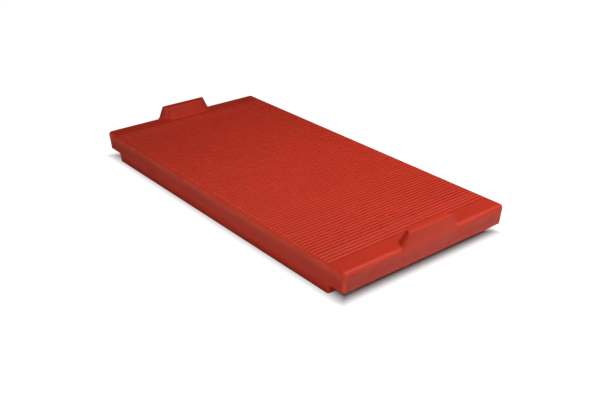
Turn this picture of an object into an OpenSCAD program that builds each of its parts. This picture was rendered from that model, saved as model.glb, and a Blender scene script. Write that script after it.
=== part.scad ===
// Slotted polyurethane screen panel, cast in one piece.
// Bars run across the width. Each short end has a lip that rests on a support rail and an upright tab.
// The underside is open: long ribs carry the bars between the walls.
// Origin: centre of the underside. X is along the length, Y across the width, Z up.

/* [Panel] */
// Length at the deck, over both end lips
panel_l = 610; // [500:1:900]
// Width at the deck
panel_w = 305; // [250:1:450]
// Height from the underside to the deck
panel_h = 45; // [42:1:60]
// Inward lean of the outer faces from the deck down, in degrees
draft = 5; // [2:0.5:6]
// Radius of the upright corners, at the deck
corner_r = 7; // [6:0.5:12]
// Rounding of the deck's outer edge
edge_r = 5; // [2:0.5:5.5]

/* [End lips] */
// Reach of each lip past the lower body
lip_l = 32; // [30:1:50]
// Thickness of each lip
lip_t = 30; // [22:1:35]

/* [Slotted deck] */
// Distance from one slot to the next
slot_pitch = 6.5; // [5.5:0.25:10]
// Width of a slot at its narrowest, just below the shoulders
slot_w = 0.6; // [0.4:0.1:1]
// Widening of a slot towards the underside, in degrees for each wall
slot_relief = 4; // [1:0.5:5]
// Rounding of the two shoulders of each bar
shoulder_r = 1.3; // [0.8:0.1:1.6]
// Depth of the bars
bar_h = 14; // [10:1:16]

/* [Underside] */
// Thickness of the long walls at the underside
side_wall_t = 16; // [12:1:24]
// Thickness of the end walls at the underside
end_wall_t = 14; // [10:1:24]
// Number of bays between the long walls
bay_count = 3; // [2:1:5]
// Thickness of a rib at the underside
rib_t = 12; // [6:1:16]
// Lean of the walls and ribs inside a bay, in degrees
bay_draft = 3; // [1:0.5:4]
// Radius of a bay's upright corners, at the underside
bay_corner_r = 8; // [6:0.5:12]

/* [Tabs] */
// Width of a tab along the panel's end, at the deck
tab_w = 100; // [80:1:140]
// Height of a tab above the deck
tab_h = 20; // [12:0.5:28]
// Thickness of a tab at the deck
tab_t = 22; // [20:0.5:25]
// Lean of a tab's round inner face, in degrees
tab_lean = 24; // [10:1:26]
// Rounding of a tab's top edges
tab_edge_r = 2; // [1:0.5:3]
// Fillet between a tab and the deck
tab_fillet_r = 2; // [1:0.5:4]

/* [Hidden] */
$fn = 64;
// Overlap that lets a cut run clear of the face it opens
clear = 1;
// Height by which an arc is set past the face it runs into, so that it crosses it at an angle
arc_lift = 0.05;
// Facets in a rounded outer edge, in a bar's shoulder and in a tab's fillet
edge_facets = 4;
shoulder_facets = 3;
fillet_facets = 3;

deck_z = panel_h;
lip_z = deck_z - lip_t;
draft_slope = tan(draft);

// Lower body: measured at the underside of the lips
lower_l = panel_l - 2 * lip_l;
lower_w = panel_w - 2 * lip_t * draft_slope;
lower_corner_r = corner_r - lip_t * draft_slope;

// Bays: measured at the underside
base_l = lower_l - 2 * lip_z * draft_slope;
base_w = panel_w - 2 * deck_z * draft_slope;
bay_h = deck_z - bar_h;
bay_l = base_l - 2 * end_wall_t;
bay_w = (base_w - 2 * side_wall_t - (bay_count - 1) * rib_t) / bay_count;
bay_pitch = bay_w + rib_t;
bay_shrink = bay_h * tan(bay_draft);

// Slots: the grooves cover the deck between the lips, the slots open into the bays
slot_count = floor(lower_l / slot_pitch);
slot_top = shoulder_r - arc_lift;
slot_foot = bar_h + clear;
slot_foot_w = slot_w + 2 * (slot_foot - slot_top) * tan(slot_relief);
slot_len = bay_w - 2 * bay_shrink - 2 * clear;
slot_reach = bay_l / 2 - bay_corner_r - slot_foot_w / 2;
slot_x = [for (i = [0 : slot_count - 1]) (i - (slot_count - 1) / 2) * slot_pitch];

// Tabs: round ends about axes in the panel's end plane
tab_slope = tan(tab_lean);
tab_top_t = tab_t - tab_h * tab_slope;
tab_axis_y = tab_w / 2 - tab_t;
tab_root = edge_r + clear;

// Points of a round stretch about a centre, from one angle to another
function arc(centre, radius, from, to, facets) = [
    for (i = [0 : facets])
        let (a = from + (to - from) * i / facets)
        centre + radius * [cos(a), sin(a)]
];

// Size or point to a hundredth of a millimetre, so that faces laid against each other meet exactly
function hundredths(v) = is_list(v) ? [for (x = v) hundredths(x)] : round(100 * v) / 100;

// Right-hand side of a section from its foot to its top on the X axis.
// reach is its width at the top, the side leans inwards on the way down and the top corner is rounded.
function leaning_side(reach, height, lean, rounding) = let (
    foot = reach - height * tan(lean),
    centre = [reach - rounding * (tan(lean) + 1 / cos(lean)), -rounding]
) hundredths(concat(
    [[foot, -height]],
    rounding > 0 ? arc(centre, rounding, -lean, 90, edge_facets) : [[reach, 0]]
));

// Section between two leaning sides
module leaning_profile(reach, height, lean, rounding) {
    right = leaning_side(reach, height, lean, rounding);
    left = [for (i = [len(right) - 1 : -1 : 0]) [-right[i][0], right[i][1]]];
    polygon(concat(right, left));
}

// Section between the Z axis and one leaning side
module half_profile(reach, height, lean, rounding) {
    polygon(concat([[0, -height]], leaning_side(reach, height, lean, rounding), [[0, 0]]));
}

// Block with leaning sides and round upright corners, its top face on the XY plane
module leaning_block(length, width, height, lean, radius, rounding) {
    axis_x = hundredths(length / 2 - radius);
    axis_y = hundredths(width / 2 - radius);
    rotate([90, 0, 90]) linear_extrude(2 * axis_x, center = true)
        leaning_profile(axis_y + radius, height, lean, rounding);
    for (end = [0, 1]) mirror([end, 0, 0]) translate([axis_x, 0, 0]) {
        rotate([90, 0, 0]) linear_extrude(2 * axis_y, center = true)
            half_profile(radius, height, lean, rounding);
        for (side = [0, 1]) mirror([0, side, 0]) translate([0, axis_y, 0])
            rotate_extrude(angle = 90) half_profile(radius, height, lean, rounding);
    }
}

// Upper part with the lips, and the lower body that drops between the support rails
module shell() {
    translate([0, 0, deck_z])
        leaning_block(panel_l, panel_w, lip_t, draft, corner_r, edge_r);
    translate([0, 0, lip_z])
        leaning_block(lower_l, lower_w, lip_z, draft, lower_corner_r, 0);
}

// One pocket of the underside, widest at its mouth
module bay() {
    mirror([0, 0, 1])
        leaning_block(bay_l, bay_w, bay_h, bay_draft, bay_corner_r, 0);
}

// Outline of the gap between two bars at x, over both rounded shoulders
function shoulder_outline(x) = let (
    half = slot_w / 2 + shoulder_r,
    z = arc_lift - shoulder_r
) concat(
    arc([x - half, z], shoulder_r, 90, 0, shoulder_facets),
    arc([x + half, z], shoulder_r, 180, 90, shoulder_facets)
);

// Outline of a slot at x, straight through the shoulders and wider towards the underside
function slot_outline(x) = [
    [x - slot_w / 2, arc_lift],
    [x - slot_w / 2, -slot_top],
    [x - slot_foot_w / 2, -slot_foot],
    [x + slot_foot_w / 2, -slot_foot],
    [x + slot_w / 2, -slot_top],
    [x + slot_w / 2, arc_lift]
];

// Comb that hangs through the deck, its teeth joined above it
module deck_comb(teeth, width) {
    points = [for (tooth = teeth, point = tooth) point];
    first = points[0];
    last = points[len(points) - 1];
    translate([0, 0, deck_z]) rotate([90, 0, 0]) linear_extrude(width, center = true)
        polygon(concat(points, [[last[0], clear], [first[0], clear]]));
}

// Half section of a tab: the fillet at the deck, the leaning face and the rounded top
module tab_section() {
    side_z = tab_fillet_r * (1 - sin(tab_lean)) - arc_lift;
    side_x = tab_t - side_z * tab_slope;
    fillet = [side_x + tab_fillet_r * cos(tab_lean), tab_fillet_r - arc_lift];
    face = leaning_side(tab_top_t, tab_h - side_z, -tab_lean, tab_edge_r);
    polygon(concat(
        [[0, -tab_root], [fillet[0], -tab_root]],
        arc(fillet, tab_fillet_r, 270, 180 + tab_lean, fillet_facets),
        [for (i = [1 : len(face) - 1]) face[i] + [0, tab_h]],
        [[0, tab_h]]
    ));
}

// Upright tab at the panel's +X end, its outer face in line with the end
module tab() {
    intersection() {
        translate([panel_l / 2, 0, deck_z]) {
            rotate([90, 0, 0]) linear_extrude(2 * tab_axis_y, center = true)
                mirror([1, 0]) tab_section();
            for (side = [-1, 1]) translate([0, side * tab_axis_y, 0])
                rotate_extrude() tab_section();
        }
        end_section();
    }
}

// Everything inside the panel's end plane: it leans below the deck and is upright above it,
// with the tab's outer top edge rounded
module end_section() {
    top = tab_h + arc_lift;
    translate([panel_l / 2, 0, deck_z]) rotate([90, 0, 0])
        linear_extrude(panel_w, center = true) polygon(concat(
            [[-2 * tab_t, top], [-2 * tab_t, -tab_root], [-tab_root * draft_slope, -tab_root], [0, 0]],
            arc([-tab_edge_r, top - tab_edge_r], tab_edge_r, 0, 90, edge_facets)
        ));
}

module screen_panel() {
    grooves = [for (x = slot_x) shoulder_outline(x)];
    slots = [for (x = slot_x) if (abs(x) < slot_reach) slot_outline(x)];
    color([0.70, 0.14, 0.09]) {
        difference() {
            shell();
            deck_comb(grooves, panel_w + 2 * clear);
            for (i = [0 : bay_count - 1]) translate([0, (i - (bay_count - 1) / 2) * bay_pitch, 0]) {
                bay();
                deck_comb(slots, slot_len);
            }
        }
        for (end = [0, 1]) mirror([end, 0, 0]) tab();
    }
}

screen_panel();
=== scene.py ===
import math

import bmesh
import bpy
from mathutils import Matrix, Vector


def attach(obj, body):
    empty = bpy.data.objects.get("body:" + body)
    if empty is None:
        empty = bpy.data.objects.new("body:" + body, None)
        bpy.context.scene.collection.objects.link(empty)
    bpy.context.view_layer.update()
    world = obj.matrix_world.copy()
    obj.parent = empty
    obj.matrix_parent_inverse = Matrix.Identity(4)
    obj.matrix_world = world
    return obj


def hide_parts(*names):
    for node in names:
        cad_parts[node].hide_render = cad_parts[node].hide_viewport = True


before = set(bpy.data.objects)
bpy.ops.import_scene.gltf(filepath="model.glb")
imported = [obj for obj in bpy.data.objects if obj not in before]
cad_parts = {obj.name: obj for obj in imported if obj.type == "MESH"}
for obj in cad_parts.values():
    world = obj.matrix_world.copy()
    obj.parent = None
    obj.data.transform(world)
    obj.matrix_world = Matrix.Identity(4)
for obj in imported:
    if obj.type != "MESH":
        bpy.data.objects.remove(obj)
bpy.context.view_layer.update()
scene = bpy.context.scene
scene.view_settings.view_transform = "Standard"

MM = 0.001
WHITE = (1.0, 1.0, 1.0, 1.0)

# The panel's sizes, as the CAD has them
DECK_Z = 45 * MM
HALF_L = 305 * MM
HALF_W = 152.5 * MM
SLOTTED_HALF_L = 273 * MM
SLOT_PITCH = 6.5 * MM
BAR_TOP_HALF = 1.65 * MM
# Just below the top of the slots, and just inside the depth of the bars
SLOT_TOP_Z = 43.7 * MM
BAR_FOOT_Z = 31.5 * MM

# Crown of a bar: its fall at the middle of a slot, and the stretch where it fades out at the long edges
CROWN = 1.0 * MM
CROWN_END = 150 * MM
CROWN_FADE = 2.9 * MM
CROWN_CUTS = (-0.5, 0.0, 0.5)

# Mesh: points closer than this are one, edges shorter than this go, and edges this steep stay sharp
MERGE_DISTANCE = 0.002 * MM
SHORTEST_EDGE = 0.001 * MM
SHARP_ANGLE = math.radians(42)

# Material: the rim that takes the wear, the painted highlight, painted reflection and painted bounce
# light, and the part of the deck's width that counts as bars
RIM = 7 * MM
BAR_HALF_W = HALF_W - 4 * MM

# Colours of the polyurethane, linear, with the painted light and shade laid on it
RED_LOW = (0.540, 0.028, 0.009)
RED_HIGH = (0.580, 0.033, 0.011)
RED_CLOUD = (0.490, 0.022, 0.007)
RED_SPECK = (0.620, 0.050, 0.022)
RED_FLOW = (0.470, 0.024, 0.008)
# Painted shade and painted highlight for the two sides of each bar
RED_PAINTED_SHADE_SIDE = (0.270, 0.011, 0.004)
RED_PAINTED_LIT_SIDE = (0.720, 0.040, 0.014)
# Painted shade in the grooves
RED_GROOVE_SHADE = (0.140, 0.007, 0.003)
# Lighter from wear, and a painted highlight, on the rim's edges and corners
RED_WORN_AND_HIGHLIGHT = (0.800, 0.075, 0.030)
# Painted reflection of the floor, paler towards the foot of the ends
RED_FLOOR_REFLECTION = (0.720, 0.079, 0.039)
# Painted bounce light, lighter towards the foot of the sides
RED_PAINTED_BOUNCE = (0.720, 0.055, 0.024)

# Floor: its grey as the camera sees it and as the light finds it, the band beside the panel where its
# glow fades out into a painted shadow, and its reach
FLOOR_SEEN = (0.25, 0.25, 0.25)
FLOOR_LIT = (0.70, 0.70, 0.70)
GLOW_FROM = -18 * MM
GLOW_TO = 7 * MM
FLOOR_REACH = 8.0

# Light of the room, and the point the soft lights aim at
ROOM_LIGHT = 0.055
CENTRE = (0.05, 0.0, 0.03)

# Camera: from the fit of the panel's corners
AZIMUTH = math.radians(50.94)
ELEVATION = math.radians(26.17)
DISTANCE = 1308.75 * MM
SHIFT_RIGHT = -20.31 * MM
SHIFT_UP = 56.17 * MM
SENSOR_WIDTH = 36.0
LENS = 50.17


def link(tree, source, target):
    tree.links.new(source, target)


def node(tree, kind, **values):
    made = tree.nodes.new(kind)
    for name, value in values.items():
        setattr(made, name, value)
    return made


def noise(tree, place, scale, detail=3.0, roughness=0.5):
    made = node(tree, "ShaderNodeTexNoise")
    made.inputs["Scale"].default_value = scale
    made.inputs["Detail"].default_value = detail
    made.inputs["Roughness"].default_value = roughness
    link(tree, place, made.inputs["Vector"])
    return made.outputs["Fac"]


def ramp(tree, factor, *stops):
    made = node(tree, "ShaderNodeValToRGB")
    for element, (position, colour) in zip(made.color_ramp.elements, stops):
        element.position = position
        element.color = (*colour, 1.0)
    link(tree, factor, made.inputs["Fac"])
    return made.outputs["Color"]


# Value taken from one range to another, and held at that range's ends
def span(tree, value, low, high, to_low, to_high):
    made = node(tree, "ShaderNodeMapRange")
    ends = {"From Min": low, "From Max": high, "To Min": to_low, "To Max": to_high}
    for name, number in ends.items():
        made.inputs[name].default_value = number
    link(tree, value, made.inputs["Value"])
    return made.outputs["Result"]


def maths(tree, operation, *values):
    made = node(tree, "ShaderNodeMath", operation=operation)
    for socket, value in zip(made.inputs, values):
        if isinstance(value, (int, float)):
            socket.default_value = value
        else:
            link(tree, value, socket)
    return made.outputs["Value"]


def product(tree, *values):
    result = values[0]
    for value in values[1:]:
        result = maths(tree, "MULTIPLY", result, value)
    return result


def blend(tree, factor, colour, other):
    made = node(tree, "ShaderNodeMix", data_type="RGBA", blend_type="MIX")
    link(tree, factor, made.inputs["Factor"])
    link(tree, colour, made.inputs["A"])
    made.inputs["B"].default_value = (*other, 1.0)
    return made.outputs["Result"]


def stretched(tree, place, x, y, z):
    made = node(tree, "ShaderNodeMapping")
    made.inputs["Scale"].default_value = (x, y, z)
    link(tree, place, made.inputs["Vector"])
    return made.outputs["Vector"]


def axes_of(tree, vector):
    made = node(tree, "ShaderNodeSeparateXYZ")
    link(tree, vector, made.inputs["Vector"])
    return made.outputs["X"], made.outputs["Y"], made.outputs["Z"]


def bump(tree, height, strength, distance):
    made = node(tree, "ShaderNodeBump")
    made.inputs["Strength"].default_value = strength
    made.inputs["Distance"].default_value = distance
    link(tree, height, made.inputs["Height"])
    return made


# Broad clouds of the casting, fine specks and faint flow marks along the walls
def casting_colour(tree, place, cloud, flow):
    batch = noise(tree, place, 7.0, detail=2.0)
    speck = noise(tree, place, 420.0, roughness=0.6)
    colour = ramp(tree, batch, (0.30, RED_LOW), (0.70, RED_HIGH))
    colour = blend(tree, span(tree, cloud, 0.45, 0.75, 0.0, 0.22), colour, RED_CLOUD)
    colour = blend(tree, span(tree, speck, 0.60, 0.85, 0.0, 0.15), colour, RED_SPECK)
    return blend(tree, span(tree, flow, 0.50, 0.80, 0.0, 0.25), colour, RED_FLOW)


# Painted light on the bars: each bar painted lighter on its side towards +X, where the light falls,
# painted darker on the other side, and painted shade in the grooves
def bar_painted_light(tree, colour, x, y, z):
    on_deck = product(
        tree,
        maths(tree, "LESS_THAN", maths(tree, "ABSOLUTE", x), SLOTTED_HALF_L),
        maths(tree, "LESS_THAN", maths(tree, "ABSOLUTE", y), BAR_HALF_W),
        maths(tree, "GREATER_THAN", z, BAR_FOOT_Z),
    )
    turn = maths(tree, "MULTIPLY", x, 2 * math.pi / SLOT_PITCH)
    # Painted shade on each bar's far side, painted highlight on its near side
    side = product(tree, maths(tree, "SINE", turn), on_deck)
    colour = blend(tree, span(tree, side, 0.0, -1.0, 0.0, 0.65), colour, RED_PAINTED_SHADE_SIDE)
    colour = blend(tree, span(tree, side, 0.0, 1.0, 0.0, 0.55), colour, RED_PAINTED_LIT_SIDE)
    # Painted shade in the grooves, darker deeper down
    depth = span(tree, z, DECK_Z - 0.5 * MM, DECK_Z - 2.2 * MM, 0.0, 0.65)
    return blend(tree, product(tree, depth, on_deck), colour, RED_GROOVE_SHADE)


# The rim's edges and corners lighter from wear, with a painted highlight; the ends paler towards their
# foot with a painted reflection of the floor, and the sides lighter towards their foot with painted
# bounce light
def rim_wear_and_painted_light(tree, colour, x, y, z, cloud, flow):
    past_end = maths(tree, "SUBTRACT", maths(tree, "ABSOLUTE", x), HALF_L - RIM)
    past_side = maths(tree, "SUBTRACT", maths(tree, "ABSOLUTE", y), HALF_W - RIM)
    on_end = maths(tree, "GREATER_THAN", past_end, 0.0)
    on_side = maths(tree, "GREATER_THAN", past_side, 0.0)
    below_tabs = span(tree, z, DECK_Z + 1 * MM, DECK_Z + 9 * MM, 1.0, 0.0)
    on_rim = product(tree, maths(tree, "MAXIMUM", on_end, on_side), below_tabs)

    facing = axes_of(tree, node(tree, "ShaderNodeNewGeometry").outputs["Normal"])
    outward = span(tree, maths(tree, "ABSOLUTE", facing[2]), 0.95, 0.50, 0.0, 1.0)
    near_top = span(tree, z, DECK_Z - 15 * MM, DECK_Z - 3 * MM, 0.0, 1.0)
    side_or_end = span(tree, on_side, 0.0, 1.0, 0.30, 1.0)
    top_edge = product(tree, outward, near_top, side_or_end)
    corner = maths(tree, "ABSOLUTE", maths(tree, "MULTIPLY", facing[0], facing[1]))
    edge = maths(tree, "MAXIMUM", span(tree, corner, 0.10, 0.40, 0.0, 1.0), top_edge)
    # Wear and painted highlight on the rim's outward edges and corners
    wear_and_highlight = product(tree, on_rim, edge, span(tree, cloud, 0.35, 0.65, 0.65, 1.0))
    colour = blend(tree, wear_and_highlight, colour, RED_WORN_AND_HIGHLIGHT)

    # Painted reflection of the floor: the ends paler towards their foot
    end_foot = product(tree, span(tree, z, 18 * MM, 32 * MM, 0.9, 0.35), on_end)
    floor_reflection = product(tree, end_foot, span(tree, flow, 0.35, 0.65, 0.30, 0.75))
    colour = blend(tree, floor_reflection, colour, RED_FLOOR_REFLECTION)
    # Painted bounce light: the sides lighter towards their foot
    painted_bounce = product(tree, span(tree, z, 6 * MM, 22 * MM, 0.75, 0.0), on_side)
    return blend(tree, painted_bounce, colour, RED_PAINTED_BOUNCE)


# Cast polyurethane: satin red with a fine mould grain and the slow waves of a poured face, with painted
# light and shade on its bars and rim
def polyurethane():
    made = bpy.data.materials.new("polyurethane")
    made.use_nodes = True
    tree = made.node_tree
    shader = tree.nodes["Principled BSDF"]
    place = node(tree, "ShaderNodeTexCoord").outputs["Object"]
    x, y, z = axes_of(tree, place)
    cloud = noise(tree, place, 42.0)
    flow = noise(tree, stretched(tree, place, 9.0, 9.0, 70.0), 1.0)

    colour = casting_colour(tree, place, cloud, flow)
    colour = bar_painted_light(tree, colour, x, y, z)
    colour = rim_wear_and_painted_light(tree, colour, x, y, z, cloud, flow)
    link(tree, colour, shader.inputs["Base Color"])

    polish = noise(tree, place, 90.0, detail=4.0, roughness=0.6)
    link(tree, span(tree, polish, 0.30, 0.70, 0.40, 0.54), shader.inputs["Roughness"])
    shader.inputs["IOR"].default_value = 1.48
    shader.inputs["Specular IOR Level"].default_value = 0.28
    shader.inputs["Subsurface Weight"].default_value = 0.20
    shader.inputs["Subsurface Radius"].default_value = (1.0, 0.25, 0.15)
    shader.inputs["Subsurface Scale"].default_value = 2.5 * MM

    grain = bump(tree, noise(tree, place, 1400.0, roughness=0.6), 0.20, 0.04 * MM)
    waves = bump(tree, noise(tree, place, 30.0, detail=2.0), 0.3, 0.2 * MM)
    link(tree, grain.outputs["Normal"], waves.inputs["Normal"])
    link(tree, waves.outputs["Normal"], shader.inputs["Normal"])
    return made


# Top faces of the bars, by the number of the bar from the middle of the panel
def bar_tops(body):
    tops = {}
    for face in body.faces:
        middle = face.calc_center_median()
        level = face.normal.z > 0.999 and middle.z > DECK_Z - 0.1 * MM
        if level and abs(middle.x) < SLOTTED_HALF_L - SLOT_PITCH:
            tops.setdefault(round(middle.x / SLOT_PITCH), []).append(face)
    return tops


# Bars crowned across their width: the middle of each stays at deck height, its edges are lower
def crown_bars(body):
    for number, faces in bar_tops(body).items():
        piece = list({part for face in faces for part in (face, *face.edges, *face.verts)})
        for share in CROWN_CUTS:
            place = (number * SLOT_PITCH + share * BAR_TOP_HALF, 0.0, 0.0)
            cut = bmesh.ops.bisect_plane(body, geom=piece, plane_co=place, plane_no=(1.0, 0.0, 0.0))
            piece = cut["geom"]
    bmesh.ops.triangulate(body, faces=body.faces)
    for vertex in body.verts:
        x, y, z = vertex.co
        if z > SLOT_TOP_Z and abs(x) < SLOTTED_HALF_L - BAR_TOP_HALF:
            off_middle = 2 * (x / SLOT_PITCH - round(x / SLOT_PITCH))
            fade = min(1.0, max(0.0, (CROWN_END - abs(y)) / CROWN_FADE))
            vertex.co.z -= CROWN * fade * off_middle ** 2


# The panel: the casting with crowned bars, its rounded edges shaded smooth
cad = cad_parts["screen_panel"]
body = bmesh.new()
body.from_mesh(cad.data)
bmesh.ops.remove_doubles(body, verts=body.verts, dist=MERGE_DISTANCE)
bmesh.ops.dissolve_degenerate(body, edges=body.edges, dist=SHORTEST_EDGE)
crown_bars(body)
for face in body.faces:
    face.smooth = True
mesh = bpy.data.meshes.new("slotted_panel")
body.to_mesh(mesh)
body.free()
mesh.set_sharp_from_angle(angle=SHARP_ANGLE)
panel = bpy.data.objects.new("slotted_panel", mesh)
scene.collection.objects.link(panel)
mesh.materials.append(polyurethane())
shading = panel.modifiers.new("shading", "WEIGHTED_NORMAL")
shading.mode = "FACE_AREA"
shading.weight = 100
shading.keep_sharp = True
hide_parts("screen_panel")
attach(panel, "root")


# Floor: white to the camera by a glow; the glow fades out towards the panel, and with the darker grey
# the camera sees, this paints a dark shadow band around the panel over the floor's own shadow
def floor_material():
    made = bpy.data.materials.new("studio_floor")
    made.use_nodes = True
    tree = made.node_tree
    tree.nodes.remove(tree.nodes["Principled BSDF"])
    camera_ray = node(tree, "ShaderNodeLightPath").outputs["Is Camera Ray"]
    paper = node(tree, "ShaderNodeBsdfDiffuse")
    grey = ramp(tree, camera_ray, (0.0, FLOOR_LIT), (1.0, FLOOR_SEEN))
    link(tree, grey, paper.inputs["Color"])

    x, y, _ = axes_of(tree, node(tree, "ShaderNodeTexCoord").outputs["Object"])
    past_end = maths(tree, "SUBTRACT", maths(tree, "ABSOLUTE", x), HALF_L)
    past_side = maths(tree, "SUBTRACT", maths(tree, "ABSOLUTE", y), HALF_W)
    away = maths(tree, "MAXIMUM", past_end, past_side)
    glow = node(tree, "ShaderNodeEmission")
    glow.inputs["Color"].default_value = WHITE
    # Painted shadow: no glow next to the panel, full glow past the band
    bright = span(tree, away, GLOW_FROM, GLOW_TO, 0.0, 1.0)
    link(tree, product(tree, camera_ray, bright), glow.inputs["Strength"])

    both = node(tree, "ShaderNodeAddShader")
    link(tree, paper.outputs["BSDF"], both.inputs[0])
    link(tree, glow.outputs["Emission"], both.inputs[1])
    link(tree, both.outputs["Shader"], tree.nodes["Material Output"].inputs["Surface"])
    return made


sheet = bpy.data.meshes.new("floor")
corners = [(x * FLOOR_REACH, y * FLOOR_REACH, 0.0) for x, y in ((-1, -1), (1, -1), (1, 1), (-1, 1))]
sheet.from_pydata(corners, [], [(0, 1, 2, 3)])
floor = bpy.data.objects.new("floor", sheet)
scene.collection.objects.link(floor)
sheet.materials.append(floor_material())

# Room: a faint even light, white to the camera
world = bpy.data.worlds.new("studio")
world.use_nodes = True
tree = world.node_tree
room = tree.nodes["Background"]
room.inputs["Color"].default_value = WHITE
room.inputs["Strength"].default_value = ROOM_LIGHT
backdrop = node(tree, "ShaderNodeBackground")
backdrop.inputs["Color"].default_value = WHITE
backdrop.inputs["Strength"].default_value = 1.0
seen = node(tree, "ShaderNodeMixShader")
link(tree, node(tree, "ShaderNodeLightPath").outputs["Is Camera Ray"], seen.inputs["Fac"])
link(tree, room.outputs["Background"], seen.inputs[1])
link(tree, backdrop.outputs["Background"], seen.inputs[2])
link(tree, seen.outputs["Shader"], tree.nodes["World Output"].inputs["Surface"])
scene.world = world


def softbox(name, place, size, power, aim=CENTRE, spread=180):
    lamp = bpy.data.lights.new(name, "AREA")
    lamp.shape = "SQUARE"
    lamp.size = size
    lamp.energy = power
    lamp.spread = math.radians(spread)
    made = bpy.data.objects.new(name, lamp)
    made.location = place
    made.rotation_euler = (Vector(place) - Vector(aim)).to_track_quat("Z", "Y").to_euler()
    scene.collection.objects.link(made)


# Studio light: a key from above the near end, and fills from the front, both sides and behind
softbox("key", (0.50, 0.20, 0.98), size=0.5, power=1.66, aim=(0.13, 0.01, 0.04), spread=72)
softbox("front", (1.10, 0.05, 0.22), size=0.4, power=1.82)
softbox("right", (0.20, 1.13, 0.96), size=0.7, power=2.0)
softbox("left", (0.15, -1.49, 0.41), size=0.7, power=5.8)
softbox("back", (-0.50, 0.40, 1.50), size=0.8, power=0.8)

# Camera: at the photo's viewing angle
right = Vector((math.cos(AZIMUTH), math.sin(AZIMUTH), 0.0))
level_back = Vector((math.sin(AZIMUTH), -math.cos(AZIMUTH), 0.0))
back = level_back * math.cos(ELEVATION) + Vector((0.0, 0.0, math.sin(ELEVATION)))
up = back.cross(right)
eye = Vector((0.0, 0.0, DECK_Z)) + back * DISTANCE - right * SHIFT_RIGHT - up * SHIFT_UP
camera = bpy.data.objects.new("camera", bpy.data.cameras.new("camera"))
camera.data.sensor_width = SENSOR_WIDTH
camera.data.lens = LENS
camera.matrix_world = Matrix((
    (right.x, up.x, back.x, eye.x),
    (right.y, up.y, back.y, eye.y),
    (right.z, up.z, back.z, eye.z),
    (0.0, 0.0, 0.0, 1.0),
))
scene.collection.objects.link(camera)
scene.camera = camera
